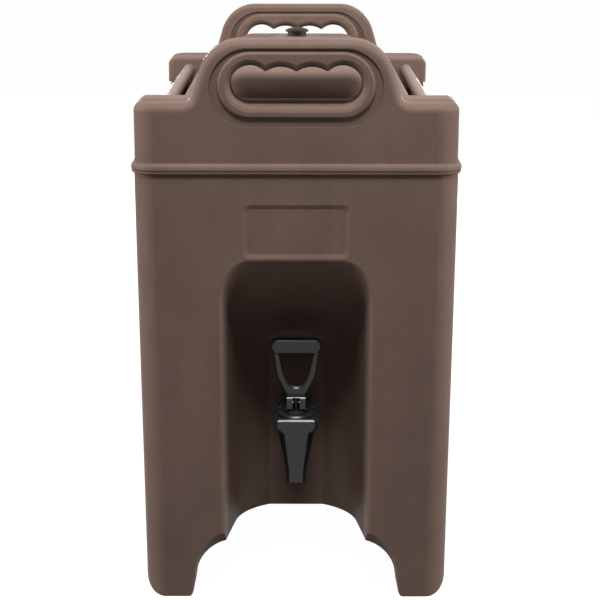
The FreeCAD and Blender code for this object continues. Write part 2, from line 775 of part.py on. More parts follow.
def container():
    """The outer shell, the foam and the tank liner."""
    outside = fused(
        "outside",
        foot_block("foot_block", "0"),
        bead("bead_low", "ledge_height - bead_drop", "bead_low_height", "bead_low_reach", "bead_foot_radius",
             "bead_crease_radius"),
        bead("bead_high", "ledge_height - bead_drop + bead_low_height", "bead_high_height", "bead_reach",
             "bead_crease_radius", "bead_top_radius"),
        end_wall("front_wall", 0),
        end_wall("rear_wall", 180),
        box("rim_block", "rim_width", "-top_depth / 2 + end_wall - overlap", "top_depth / 2 - end_wall + overlap",
            "ledge_height - overlap", "rim_height"),
        catch("catch_right", ""),
        catch("catch_left", "-"),
    )
    hollowed = cut("hollowed", outside, recess("recess", "0"), arch("arch", "0"))
    form = new_body("form", hollowed)

    def on_lip(m, d):
        front = value("-base_depth / 2 - tan(draft_angle) * %r" % m.z)
        above_arch = value("base_height + flare_rise") < m.z < value("recess_top") + 1
        return abs(m.y - front) < 0.05 and abs(m.x) < value("recess_radius + 2 * overlap") and above_arch

    rounded(form, "recess_lip_radius", on_lip)

    inset = "shell_wall"
    foam_space = cut(
        "foam_space",
        fused(
            "foam_block",
            foot_block("inner_block", "-shell_wall"),
            box("rim_space", "rim_width - 2 * shell_wall", "-top_depth / 2 + end_wall - overlap",
                "top_depth / 2 - end_wall + overlap", "ledge_height - overlap", "rim_height - shell_wall"),
            box("front_space", "top_width - 24", "-top_depth / 2 + shell_wall", "-top_depth / 2 + end_wall - shell_wall",
                "ledge_height - overlap", "band_bottom - shell_wall"),
            box("rear_space", "top_width - 24", "top_depth / 2 - end_wall + shell_wall", "top_depth / 2 - shell_wall",
                "ledge_height - overlap", "band_bottom - shell_wall"),
        ),
        recess("recess_wall", inset),
        arch("arch_wall", inset),
    )
    mouth = rim_prism("mouth", "flange_width", "flange_depth", "flange_corner_radius", "rim_height - shell_wall",
                      "rim_height + overlap")
    cut("outer_shell", form, foam_space, mouth, label_panel(), shank_hole("shell_hole"))

    liner_outside = tank("liner_outside", "tank_wall")
    trimmed = shared("liner_trimmed", liner_outside,
                     box("liner_limit", "top_width", "-top_depth / 2", "top_depth / 2", "0", "rim_height"))
    flange = rim_prism("liner_flange", "flange_width", "flange_depth", "flange_corner_radius",
                       "rim_height - shell_wall", "rim_height")
    cut("tank_liner", fused("liner_solid", trimmed, flange), tank("tank_space", "0"), shank_hole("liner_hole"))
    cut("foam_core", copy_of("foam_fill", foam_space), copy_of("foam_tank", liner_outside), shank_hole("foam_hole"))


# Tap, modelled about its own upright axis and then moved to the recess

TAP_Y = "(-top_depth / 2 + recess_pad_depth - tap_forward)"
TANK_FACE = "(tank_front_gap - recess_pad_depth + tap_forward)"
CUP_TOP = "(seat_height + cup_height)"
COLLAR_TOP = "(seat_height + cup_height + stem_collar_height)"
BONNET_TOP = "(spout_top + bonnet_base + bonnet_boss)"


def at_tap(thing):
    return bind(thing, Placement__Base__y=TAP_Y)


def eight_sided(width, corner):
    """A square outline with cut corners."""
    side = "(%s) / 2" % width
    flat = "(%s - %s)" % (side, corner)
    return mirrored([(flat, "-" + side), (side, "-" + flat), (side, flat), (flat, side)])


def spout():
    """The faceted spout that widens up to the nearly square rim of the valve chamber."""
    body = new_body("spout")
    places = [
        ("spout_tip_width", "spout_bottom", "spout_tip_width * spout_chamfer"),
        ("spout_neck_width", "spout_neck", "spout_neck_width * spout_chamfer"),
        ("spout_flare_width", "spout_shoulder - spout_rim_slope", "spout_flare_width * spout_chamfer"),
        ("spout_rim_width", "spout_shoulder", "spout_rim_corner"),
        ("spout_rim_width", "spout_top - spout_rim_edge", "spout_rim_corner"),
        ("spout_rim_width - 2 * spout_rim_edge", "spout_top", "spout_rim_corner"),
    ]
    sections = [draw(sketch_on(body, "spout_section_%d" % n, "XY", height), eight_sided(width, corner))
                for n, (width, height, corner) in enumerate(places)]
    loft = body.newObject("PartDesign::AdditiveLoft", "spout_loft")
    loft.Profile = sections[0]
    loft.Sections = sections[1:]
    loft.Ruled = True
    doc.recompute()
    return body


def shank_ring(name, outer, start, length):
    """A ring on the shank; start is measured back from the tap's axis."""
    ring_body = rod(name + "_disc", outer, length, y=start, z="shank_height", along="Y")
    hole = rod(name + "_hole", "shank_radius", "(%s) + 2" % length, y="(%s) - 1" % start, z="shank_height", along="Y")
    return at_tap(cut(name, ring_body, hole))


def tap_body():
    flange_start = "(tap_forward - washer_height - tap_flange_height)"
    solid = fused(
        "tap_solid", spout(),
        rod("tap_barrel", "tap_barrel_radius", flange_start, z="shank_height", along="Y"),
        rod("tap_flange", "tap_flange_radius", "tap_flange_height", y=flange_start, z="shank_height", along="Y"),
        rod("tap_shank", "shank_radius", "shank_length", y=flange_start, z="shank_height", along="Y"),
    )
    at_tap(cut(
        "tap_body", solid,
        rod("chamber", "chamber_radius", "spout_top - seat_height + 1", z="seat_height"),
        rod("spout_bore", "spout_bore_radius", "seat_height - spout_bottom + 2", z="spout_bottom - 1"),
        rod("shank_bore", "shank_bore_radius", "%s + shank_length + 1" % flange_start, z="shank_height", along="Y"),
    ))


def shank_fittings():
    shank_ring("tap_washer", "washer_radius", "(tap_forward - washer_height)", "washer_height")
    shank_ring("tank_gasket", "tank_gasket_radius", TANK_FACE, "tank_gasket_height")
    nut_end = "%s + tank_gasket_height + shank_nut_height" % TANK_FACE
    hexagon = prism("nut_hexagon", "XZ", mirrored([
        ("shank_nut_radius / 2", "shank_height - 0.86603 * shank_nut_radius"),
        ("shank_nut_radius", "shank_height"),
        ("shank_nut_radius / 2", "shank_height + 0.86603 * shank_nut_radius"),
    ]), "shank_nut_height", offset="-(%s)" % nut_end)
    hole = rod("nut_hole", "shank_radius", "shank_nut_height + 2", y="%s - shank_nut_height - 1" % nut_end,
               z="shank_height", along="Y")
    at_tap(cut("shank_nut", hexagon, hole))


def bonnet():
    bore = "(stem_radius + stem_clearance)"
    skirt_bottom = "(spout_top - bonnet_skirt)"
    skirt_inside = "(chamber_radius - bonnet_skirt_wall)"
    seal_top = "(spout_top + bonnet_seal_height)"
    at_tap(turned("tap_bonnet", [
        (bore, "spout_top"),
        (skirt_inside, "spout_top"),
        (skirt_inside, skirt_bottom),
        ("chamber_radius", skirt_bottom),
        ("chamber_radius", seal_top),
        ("bonnet_seal_radius", seal_top),
        ("bonnet_seal_radius", "spout_top"),
        ("bonnet_radius", "spout_top"),
        ("bonnet_radius", "spout_top + bonnet_base - 1"),
        ("bonnet_radius - 1", "spout_top + bonnet_base"),
        ("bonnet_boss_radius", "spout_top + bonnet_base"),
        ("bonnet_boss_radius", BONNET_TOP),
        (bore, BONNET_TOP),
    ]))
    at_tap(turned("bonnet_oring", [
        ("chamber_radius", "spout_top"),
        ("bonnet_seal_radius", "spout_top"),
        ("bonnet_seal_radius", seal_top),
        ("chamber_radius", seal_top),
    ]))


def valve():
    """The stem with its soft seat cup and the spring above its collar."""
    stem = turned("stem_turned", [
        ("0", "stem_bottom"),
        ("stem_radius", "stem_bottom"),
        ("stem_radius", CUP_TOP),
        ("stem_collar_radius", CUP_TOP),
        ("stem_collar_radius", COLLAR_TOP),
        ("stem_radius", COLLAR_TOP),
        ("stem_radius", "stem_top - 1"),
        ("stem_radius - 1", "stem_top"),
        ("0", "stem_top"),
    ])
    pin_hole = rod("stem_pin_hole", "pin_radius + pin_clearance", "4 * stem_radius", x="-2 * stem_radius",
                   z="pin_height", along="X")
    at_tap(cut("tap_stem", stem, pin_hole))
    at_tap(turned("seat_cup", [
        ("0", "seat_height"),
        ("cup_radius - 1.5", "seat_height"),
        ("cup_radius", "seat_height + 1.5"),
        ("cup_radius", CUP_TOP),
        ("stem_radius", CUP_TOP),
        ("stem_radius", "stem_bottom"),
        ("0", "stem_bottom"),
    ]))
    helix = doc.addObject("Part::Helix", "spring_path")
    bind(helix, Radius="spring_radius", Height="spout_top - %s - 2 * spring_wire" % COLLAR_TOP,
         Pitch="(spout_top - %s - 2 * spring_wire) / spring_turns" % COLLAR_TOP,
         Placement__Base__z="%s + spring_wire" % COLLAR_TOP)
    helix.SegmentLength = 0.5
    wire = doc.addObject("Part::Circle", "spring_wire_section")
    wire.Placement = Placement(Vector(), Rotation(Vector(1, 0, 0), 90))
    bind(wire, Radius="spring_wire", Placement__Base__x="spring_radius",
         Placement__Base__z="%s + spring_wire" % COLLAR_TOP)
    doc.recompute()
    spring = doc.addObject("Part::Sweep", "stem_spring")
    spring.Sections = [wire]
    spring.Spine = (helix, ["Edge%d" % n for n in range(1, len(helix.Shape.Edges) + 1)])
    spring.Solid = True
    spring.Frenet = True
    doc.recompute()
    at_tap(spring)


def heel_point(share):
    """A point of the heel, whose reach from the pin grows evenly as the lever tilts."""
    angle = "(%s * lever_tilt)" % share
    turn = "(%s * pi / 180)" % angle
    reach = "(pin_height - %s - heel_clearance + heel_rise * %s)" % (BONNET_TOP, turn)
    y = "-%s * sin(%s) - heel_rise * cos(%s)" % (reach, angle, angle)
    z = "pin_height - %s * cos(%s) + heel_rise * sin(%s)" % (reach, angle, angle)
    return y, z


def lever():
    """The tap's loop lever with its cross bar, its yoke and its pin."""
    bar_top = "(bar_bottom + bar_height)"
    bar_middle = "(bar_bottom + bar_height / 2)"
    heel = "%s + heel_clearance" % BONNET_TOP
    front = prism("lever_front", "XZ", mirrored([
        ("yoke_width / 2", heel),
        ("yoke_width / 2", "yoke_top"),
        ("arm_bend_width / 2", "arm_bend_height"),
        ("arm_top_width / 2", "bar_bottom + 1"),
        ("arm_top_width / 2", bar_middle),
    ]), "6 * bar_depth", both_ways=True)
    half_way = heel_point("0.5")
    nose = heel_point("1")
    side_view = prism("lever_side", "YZ", [
        ("-heel_rise", heel),
        nose + half_way,
        (nose[0], "yoke_top - 1"),
        ("%s + 1" % nose[0], "yoke_top"),
        ("-arm_depth / 2", "yoke_top"),
        ("-arm_depth / 2", bar_middle),
        ("arm_depth / 2", bar_middle),
        ("arm_depth / 2", "yoke_top + 3"),
        ("yoke_back", "yoke_top"),
        ("yoke_back", heel),
    ], "2 * bar_width", both_ways=True)
    bar = prism("lever_bar", "XZ", stadium("bar_width", "bar_bottom", "bar_height"), "bar_depth", both_ways=True)
    rounded(bar, "bar_edge_radius", lambda m, d: abs(abs(m.y) - value("bar_depth / 2")) < 0.01)
    outline = [
        ("loop_foot_width / 2", "loop_foot_height", "0", "loop_bottom"),
        ("loop_corner_width / 2", "loop_corner_height", "loop_side_width / 2", "loop_side_height"),
        ("loop_top_width / 2", "bar_bottom + 0.1"),
        ("-loop_top_width / 2", "bar_bottom + 0.1"),
        ("-loop_corner_width / 2", "loop_corner_height"),
        ("-loop_foot_width / 2", "loop_foot_height", "-loop_side_width / 2", "loop_side_height"),
    ]
    loops = [prism("lever_loop", "XZ", outline, "6 * bar_depth", both_ways=True)]
    for side, turn in (("front", 0), ("back", 180)):
        flare = prism("lever_flare_" + side, "XZ", outline, "2 * arm_edge", offset="arm_depth / 2 - arm_edge",
                      draft="45")
        flare.Placement = Placement(Vector(), Rotation(Vector(0, 0, 1), turn))
        loops.append(flare)
    doc.recompute()
    slot = box("lever_slot", "2 * (stem_radius + yoke_slot_clearance)", "-2 * bar_depth", "2 * bar_depth",
               "%s - 1" % heel, "yoke_slot_top")
    pin_seat = rod("lever_pin_seat", "pin_radius", "2 * yoke_width", x="-yoke_width", z="pin_height", along="X")
    arms = new_body("lever_arms", shared("lever_outline", front, side_view))

    def on_arms(m, d):
        return close(abs(m.y), "arm_depth / 2", 0.01) and 0 < abs(d.x) < 0.9 and m.z > value("yoke_top") + 1

    rounded(arms, "arm_edge", on_arms)
    blade = cut("lever_blade", arms, *loops)
    at_tap(cut("tap_lever", fused("lever_solid", blade, bar), slot, pin_seat))
    pin = rod("lever_pin", "pin_radius", "yoke_width", x="-yoke_width / 2", z="pin_height", along="X")
    at_tap(pin)


# Lid

LID = "(rim_height + lid_seat_gap)"
LID_END_INSIDE = "(top_depth / 2 - end_wall - lid_end_gap - lid_end_depth)"
LID_END_OUTSIDE = "(top_depth / 2 - end_wall - lid_end_gap)"
SPACE_WIDTH = "(plateau_width - 2 * lid_wall)"
SPACE_DEPTH = "(2 * %s - 2 * lid_wall)" % LID_END_OUTSIDE


def lid_end(name, turn):
    """The raised bar across one end of the lid, which carries the latch rods."""
    top = "%s + lid_end_height" % LID
    body = prism(name, "XZ", mirrored([("lid_width / 2", LID), ("lid_width / 2", top)]), "lid_end_depth",
                 offset=LID_END_INSIDE)
    rounded(body, "lid_end_corner_radius", lambda m, d: abs(d.y) > 0.9 and close(m.z, top))
    rounded(body, "lid_end_edge_radius", lambda m, d: close(m.z, top) and abs(d.x) > 0.9)
    body.Placement = Placement(Vector(), Rotation(Vector(0, 0, 1), turn))
    doc.recompute()
    return body


def top_rounded(name, width, depth, corner, bottom, top, edge):
    """An upright rounded rectangle with a rounded top edge."""
    body = rim_prism(name, width, depth, corner, bottom, top)
    return rounded(body, edge, lambda m, d: close(m.z, top) and abs(d.z) < 0.1)


def rod_seat(name, side, end):
    start = "-(%s + rod_seat_depth)" % LID_END_INSIDE if end == "-" else LID_END_INSIDE
    return rod(name, "rod_radius", "rod_seat_depth", x=side + "latch_axis_x", y=start, z="latch_axis_height",
               along="Y")


def lid():
    """The lid's shell, pan, foam and gasket."""
    plateau_top = "%s + plateau_height" % LID
    boss = turned("boss", [
        ("0", "dome_top - 2 * boss_edge_radius"),
        ("boss_foot_radius", "dome_top - 2 * boss_edge_radius"),
        ("boss_foot_radius", "dome_top"),
        ("boss_top_radius", "boss_top"),
        ("0", "boss_top"),
    ])
    rounded(boss, "boss_edge_radius", lambda m, d: close(m.z, "boss_top"))
    outside = fused(
        "lid_outside",
        lid_end("lid_end_front", 0),
        lid_end("lid_end_rear", 180),
        top_rounded("plateau", "plateau_width", "2 * %s + lid_end_depth" % LID_END_INSIDE, "lid_wall", LID,
                    plateau_top, "plateau_edge_radius"),
        top_rounded("dome", "dome_width", "dome_depth", "dome_corner_radius", LID, "dome_top", "dome_edge_radius"),
        boss,
    )
    space = fused(
        "lid_space",
        rim_prism("plateau_space", SPACE_WIDTH, SPACE_DEPTH, "lid_wall", LID, "%s - lid_wall" % plateau_top),
        top_rounded("dome_space", "dome_width - 2 * lid_wall", "dome_depth - 2 * lid_wall",
                    "dome_corner_radius - lid_wall", LID, "dome_top - lid_wall", "dome_edge_radius - lid_wall"),
        rod("boss_space", "boss_top_radius - lid_wall", "boss_top - lid_wall - %s" % LID, z=LID),
    )
    cut(
        "lid_shell", outside, space,
        rod("vent_hole", "vent_bore_radius", "2 * overlap", z="boss_top - overlap"),
        rod_seat("seat_front_right", "", "-"), rod_seat("seat_front_left", "-", "-"),
        rod_seat("seat_rear_right", "", ""), rod_seat("seat_rear_left", "-", ""),
    )

    plate = rim_prism("pan_plate", SPACE_WIDTH, SPACE_DEPTH, "lid_wall", LID, "%s + plug_wall" % LID)
    well = rim_prism("pan_well", "plug_width", "plug_depth", "plug_corner_radius", "%s - plug_drop" % LID,
                     "%s + plug_wall" % LID)
    well_space = rim_prism("pan_space", "plug_width - 2 * plug_wall", "plug_depth - 2 * plug_wall",
                           "plug_corner_radius - plug_wall", "%s - plug_drop + plug_wall" % LID,
                           "%s + plug_wall" % LID)
    tube = rod("vent_tube", "vent_bore_radius + vent_tube_wall", "boss_top - lid_wall - %s + plug_drop" % LID,
               z="%s - plug_drop" % LID)
    bore = rod("vent_bore", "vent_bore_radius", "boss_top - %s + plug_drop" % LID, z="%s - plug_drop - 1" % LID)
    pan = cut("pan", fused("pan_solid", plate, well), well_space)
    cut("lid_plug", fused("pan_with_tube", pan, tube), bore)
    above_plate = cut("above_plate", copy_of("foam_above", space), copy_of("plate_copy", plate))
    foam = fused("lid_foam_fill", above_plate, copy_of("foam_below", well_space))
    cut("lid_foam", foam, copy_of("tube_copy", tube))
    cut(
        "lid_gasket",
        rim_prism("gasket_outside", "tank_width + 2 * gasket_inset + 2 * gasket_width",
                  "tank_depth + 2 * gasket_inset + 2 * gasket_width", "tank_corner_radius + gasket_width",
                  "rim_height", LID),
        rim_prism("gasket_inside", "tank_width + 2 * gasket_inset", "tank_depth + 2 * gasket_inset",
                  "tank_corner_radius", "rim_height", LID),
    )


def vent():
    """The vent's knob, its stem down through the lid and its seal ring."""
    seal_top = "(boss_top + vent_seal_height)"
    cap_top = "(%s + vent_cap_height)" % seal_top
    pocket = "(%s + vent_cap_height / 2)" % seal_top
    rim_top = "(%s - vent_cap_height / 3)" % cap_top
    turned("vent_cap", [
        ("vent_stem_radius", seal_top),
        ("vent_neck_radius", seal_top),
        ("vent_neck_radius - 0.5", "%s - vent_rim_height" % rim_top),
        ("vent_cap_radius", "%s - vent_rim_height" % rim_top),
        ("vent_cap_radius", rim_top),
        ("vent_cap_radius / 4", cap_top, "vent_cap_radius * 0.65", "%s - vent_cap_height / 9" % cap_top),
        ("0", cap_top),
        ("0", pocket),
        ("vent_stem_radius", pocket),
    ])
    foot = "(%s - plug_drop - vent_travel)" % LID
    turned("vent_stem", [
        ("0", "%s - vent_foot_height" % foot),
        ("vent_stem_radius", "%s - vent_foot_height" % foot),
        ("vent_foot_radius", "%s - vent_foot_height / 3" % foot),
        ("vent_foot_radius", foot),
        ("vent_stem_radius", foot),
        ("vent_stem_radius", pocket),
        ("0", pocket),
    ])
    turned("vent_seal", [
        ("vent_stem_radius", "boss_top"),
        ("vent_seal_radius", "boss_top"),
        ("vent_seal_radius", seal_top),
        ("vent_stem_radius", seal_top),
    ])


def latch(name, side):
    """A full-length latch: a barrel on its rod, a plate with a hook and a finger lip."""
    slope = "((catch_nose_low - catch_foot) / catch_reach)"
    toe = "(rim_width / 2 + hook_gap)"
    toe_top = "(catch_foot + hook_gap * %s - hook_clearance)" % slope
    hook_top = "(catch_foot + (latch_inner_face - rim_width / 2) * %s - hook_clearance)" % slope
    lip = "(latch_outer_face + latch_lip_reach)"
    steps = [
        ("latch_inner_face", "latch_axis_height"),
        ("latch_inner_face", hook_top),
        (toe, toe_top),
        (toe, "latch_bottom + 2.4"),
        ("latch_inner_face", "latch_bottom"),
        (lip + " - 1", "latch_bottom"),
        (lip, "latch_bottom + 1"),
        (lip, "latch_bottom + 2"),
        ("latch_outer_face", "latch_bottom + 2 + latch_lip_reach", "latch_outer_face + 0.29289 * latch_lip_reach",
         "latch_bottom + 2 + 0.29289 * latch_lip_reach"),
        ("latch_outer_face", "latch_axis_height"),
    ]
    signed = [tuple(side + "(%s)" % part if n % 2 == 0 else part for n, part in enumerate(step)) for step in steps]
    plate = prism(name + "_plate", "XZ", signed, "latch_length", both_ways=True)
    axis = {"x": side + "latch_axis_x", "y": "-latch_length / 2", "z": "latch_axis_height", "along": "Y"}
    rounded(plate, "latch_end_radius", lambda m, d: upright(m, d) and close(abs(m.x), "latch_outer_face"))
    barrel = rod(name + "_barrel", "latch_barrel_radius", "latch_length", **axis)
    bore = rod(name + "_bore", "rod_radius + rod_clearance", "latch_length", **axis)
    cut(name, fused(name + "_solid", plate, barrel), bore)
    rod(name.replace("latch", "latch_rod"), "rod_radius", "2 * (%s + rod_seat_depth)" % LID_END_INSIDE,
        x=axis["x"], y="-(%s + rod_seat_depth)" % LID_END_INSIDE, z="latch_axis_height", along="Y")


def main():
    container()
    tap_body()
    shank_fittings()
    bonnet()
    valve()
    lever()
    lid()
    vent()
    latch("latch_right", "")
    latch("latch_left", "-")
    doc.recompute()


NODES = [
    "outer_shell", "tank_liner", "foam_core",
    "tap_body", "tap_washer", "tank_gasket", "shank_nut", "tap_bonnet", "bonnet_oring",
    "tap_stem", "seat_cup", "stem_spring", "tap_lever", "lever_pin",
    "lid_shell", "lid_plug", "lid_foam", "lid_gasket", "latch_rod_left", "latch_rod_right",
    "latch_left", "latch_right", "vent_cap", "vent_stem", "vent_seal",
]


def check():
    """Stops on any failed object or bad shape."""
    for thing in doc.Objects:
        if {"Invalid", "Error"} & set(thing.State):
            raise RuntimeError("%s failed: %s" % (thing.Name, thing.State))
        if thing.isDerivedFrom("PartDesign::Body") and not thing.Shape.isValid():
            raise RuntimeError("%s has a bad shape" % thing.Name)
    for name in NODES:
        shape = doc.getObject(name).Shape
        if shape.isNull() or not shape.isValid():
            raise RuntimeError(name + " has a bad shape")


main()
check()
os.makedirs("parts", exist_ok=True)
for name in NODES:
    node = doc.getObject(name)
    node.Label = name
    node.Shape.exportStep("parts/%s.step" % name)
    print(name, len(node.Shape.Solids), round(node.Shape.Volume / 1000, 1), node.Shape.BoundBox)
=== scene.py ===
"""An insulated beverage dispenser on a white studio floor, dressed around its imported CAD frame."""

import json
import logging
import math
from dataclasses import dataclass, field
from typing import Any

import bpy
from mathutils import Matrix, Vector

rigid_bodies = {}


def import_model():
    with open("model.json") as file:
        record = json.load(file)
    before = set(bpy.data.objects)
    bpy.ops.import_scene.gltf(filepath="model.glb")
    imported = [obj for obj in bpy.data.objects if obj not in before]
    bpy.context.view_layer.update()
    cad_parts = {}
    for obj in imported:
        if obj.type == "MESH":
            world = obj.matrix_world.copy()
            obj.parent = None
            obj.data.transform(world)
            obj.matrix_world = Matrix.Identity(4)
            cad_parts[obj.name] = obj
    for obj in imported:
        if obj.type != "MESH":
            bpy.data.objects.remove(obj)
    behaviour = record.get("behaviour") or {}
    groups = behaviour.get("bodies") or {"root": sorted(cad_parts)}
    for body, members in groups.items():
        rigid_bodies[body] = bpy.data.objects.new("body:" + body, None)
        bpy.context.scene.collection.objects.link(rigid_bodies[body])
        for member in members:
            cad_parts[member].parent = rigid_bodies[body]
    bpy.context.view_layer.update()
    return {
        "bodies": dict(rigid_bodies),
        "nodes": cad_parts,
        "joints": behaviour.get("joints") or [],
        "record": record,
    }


Pair = tuple[float, float]
Triple = tuple[float, float, float]

WHITE = (1.0, 1.0, 1.0, 1.0)

log = logging.getLogger("dispenser")


def shaded(colour: Triple, factor: float) -> Triple:
    """Gives a colour made lighter or darker by a factor."""
    red, green, blue = colour
    return (red * factor, green * factor, blue * factor)


class Signal:
    """A value that runs through a shader, written with ordinary operators."""

    def __init__(self, sheet: "Sheet", socket: bpy.types.NodeSocket | None) -> None:
        """Wraps an output socket.

        Args:
            sheet: The nodes that the socket is in.
            socket: The output that carries the value, or nothing for a last node.
        """
        self.sheet = sheet
        self.socket = socket

    def _math(self, operation: str, *values: Any) -> "Signal":
        """Adds one Math node for an operation on some values."""
        return self.sheet.add("ShaderNodeMath", {"operation": operation}, dict(enumerate(values)))

    def __add__(self, other: Any) -> "Signal":
        """Adds a number or a signal."""
        return self._math("ADD", self, other)

    __radd__ = __add__

    def __sub__(self, other: Any) -> "Signal":
        """Takes a number or a signal away."""
        return self._math("SUBTRACT", self, other)

    def __rsub__(self, other: Any) -> "Signal":
        """Takes this signal away from a number."""
        return self._math("SUBTRACT", other, self)

    def __mul__(self, other: Any) -> "Signal":
        """Multiplies by a number or a signal."""
        return self._math("MULTIPLY", self, other)

    __rmul__ = __mul__

    def above(self, limit: Any) -> "Signal":
        """Gives 1 where the signal is over a limit and 0 elsewhere."""
        return self._math("GREATER_THAN", self, limit)

    def at_least(self, limit: Any) -> "Signal":
        """Gives the larger of the signal and a limit."""
        return self._math("MAXIMUM", self, limit)

    def eased(self, low: float, high: float) -> "Signal":
        """Gives 0 below a value, 1 above another and a smooth step between them."""
        settings = {"interpolation_type": "SMOOTHSTEP"}
        values = {"Value": self, "From Min": low, "From Max": high, "To Min": 0.0, "To Max": 1.0}
        return self.sheet.add("ShaderNodeMapRange", settings, values)


class Sheet:
    """The nodes of one material, or of the sky."""

    def __init__(self, owner: str | bpy.types.World) -> None:
        """Makes an empty material, or empties the sky's nodes.

        Args:
            owner: The new material's name, or the sky.
        """
        self.owner = bpy.data.materials.new(owner) if isinstance(owner, str) else owner
        self.owner.use_nodes = True
        self.tree = self.owner.node_tree
        self.tree.nodes.clear()

    def add(
        self, kind: str, settings: dict[str, Any], values: dict[Any, Any], output: int | str = 0,
    ) -> Signal:
        """Adds any node.

        Args:
            kind: Blender's name for the node type.
            settings: Attributes of the node, set before its inputs.
            values: Inputs by index or name, each a number, a tuple or a signal.
            output: The output to return, by index or name.

        Returns:
            The chosen output.
        """
        node = self.tree.nodes.new(kind)
        for name, value in settings.items():
            setattr(node, name, value)
        for name, value in values.items():
            if isinstance(value, Signal):
                self.tree.links.new(value.socket, node.inputs[name])
            else:
                node.inputs[name].default_value = value
        return Signal(self, node.outputs[output] if len(node.outputs) else None)

    def place(self) -> Signal:
        """Gives the point's place in the object's own axes, in metres."""
        return self.add("ShaderNodeTexCoord", {}, {}, "Object")

    def noise(
        self, per_metre: float, detail: float = 2.0, rough: float = 0.5, stretch: Triple = (1, 1, 1),
    ) -> Signal:
        """Gives a noise value.

        Args:
            per_metre: How many grains there are in a metre.
            detail: How many finer layers the noise has.
            rough: How strong the finer layers are.
            stretch: How the noise is squeezed along each axis.

        Returns:
            A value around 0.5.
        """
        where = self.add("ShaderNodeMapping", {}, {"Vector": self.place(), "Scale": stretch})
        inputs = {"Vector": where, "Scale": per_metre, "Detail": detail, "Roughness": rough}
        return self.add("ShaderNodeTexNoise", {}, inputs, "Fac")

    def cells(self, per_metre: float) -> Signal:
        """Gives the distance from the middle of scattered cells, as a share of their size."""
        inputs = {"Vector": self.place(), "Scale": per_metre}
        return self.add("ShaderNodeTexVoronoi", {}, inputs, "Distance")

    def mixed(self, share: Any, first: Any, second: Any) -> Signal:
        """Mixes two colours.

        Args:
            share: How much of the second colour shows.
            first: The first colour, as three numbers or a signal.
            second: The second colour.

        Returns:
            The mixed colour.
        """
        settings = {"data_type": "RGBA", "clamp_factor": True}
        factor, colour_a, colour_b, result = 0, 6, 7, 2
        inputs = {factor: share, colour_a: self._opaque(first), colour_b: self._opaque(second)}
        return self.add("ShaderNodeMix", settings, inputs, result)

    @staticmethod
    def _opaque(colour: Any) -> Any:
        """Gives three numbers a fourth for opacity and leaves a signal as it is."""
        return colour if isinstance(colour, Signal) else (*colour, 1.0)

    def bump(
        self, relief: Signal, depth: float, strength: float, under: Signal | None = None,
    ) -> Signal:
        """Turns a relief into a bumped normal.

        Args:
            relief: The height, from 0 to 1.
            depth: The relief's full depth in metres.
            strength: How strongly it shows.
            under: A bumped normal that this one lies on.

        Returns:
            The normal.
        """
        inputs: dict[Any, Any] = {"Height": relief, "Distance": depth, "Strength": strength}
        if under is not None:
            inputs["Normal"] = under
        return self.add("ShaderNodeBump", {}, inputs)

    def finish(self, values: dict[Any, Any]) -> bpy.types.Material:
        """Adds the surface shader and the output.

        Args:
            values: The shader's inputs by name.

        Returns:
            The finished material.
        """
        shader = self.add("ShaderNodeBsdfPrincipled", {}, values)
        self.add("ShaderNodeOutputMaterial", {}, {"Surface": shader})
        return self.owner


@dataclass(frozen=True)
class MouldedPlastic:
    """Pigmented plastic straight from a mould: satin, with a fine skin and faint flow marks.

    Here and in the other finishes, a name with per_metre counts grains along a metre, a depth is
    in metres, a blend is where a smooth step starts and ends, and a show is a bump's strength.
    """

    name: str
    colour: Triple
    roughness: float = 0.47
    gloss: float = 0.04
    mottle: float = 0.12
    mottle_blend: Pair = (0.3, 0.7)
    broad_per_metre: float = 14.0
    broad_layers: float = 3.0
    broad_rough: float = 0.55
    broad_share: float = 0.5
    broad_roughness: float = 0.1
    fine_per_metre: float = 310.0
    fine_share: float = 0.2
    fine_roughness: float = 0.08
    streaks_per_metre: float = 60.0
    streak_rough: float = 0.6
    streak_stretch: Triple = (1.0, 1.0, 0.15)
    streak_share: float = 0.3
    specks_per_metre: float = 140.0
    speck_size: float = 0.055
    speck_patches_per_metre: float = 37.0
    speck_patch_limit: float = 0.56
    speck_share: float = 0.35
    speck_lightness: float = 2.2
    waves_per_metre: float = 24.0
    wave_depth: float = 0.0004
    wave_show: float = 0.35
    skin_per_metre: float = 950.0
    skin_layers: float = 1.5
    skin_depth: float = 0.00003
    skin_show: float = 0.8

    def material(self) -> bpy.types.Material:
        """Builds the plastic's material."""
        sheet = Sheet(self.name)
        broad = sheet.noise(self.broad_per_metre, self.broad_layers, self.broad_rough)
        fine = sheet.noise(self.fine_per_metre)
        streaks = sheet.noise(self.streaks_per_metre, 2.0, self.streak_rough, self.streak_stretch)
        share = broad * self.broad_share + fine * self.fine_share + streaks * self.streak_share
        darker, lighter = shaded(self.colour, 1 - self.mottle), shaded(self.colour, 1 + self.mottle)
        base = sheet.mixed(share.eased(*self.mottle_blend), darker, lighter)
        patches = sheet.noise(self.speck_patches_per_metre).above(self.speck_patch_limit)
        specks = (1.0 - sheet.cells(self.specks_per_metre).eased(0.0, self.speck_size)) * patches
        base = sheet.mixed(specks * self.speck_share, base, shaded(self.colour, self.speck_lightness))
        uneven = (broad - 0.5) * self.broad_roughness + (fine - 0.5) * self.fine_roughness
        waves = sheet.bump(sheet.noise(self.waves_per_metre, 1.0), self.wave_depth, self.wave_show)
        skin = sheet.noise(self.skin_per_metre, self.skin_layers)
        return sheet.finish({
            "Base Color": base,
            "Roughness": self.roughness + uneven,
            "Normal": sheet.bump(skin, self.skin_depth, self.skin_show, waves),
            "Specular IOR Level": self.gloss,
        })


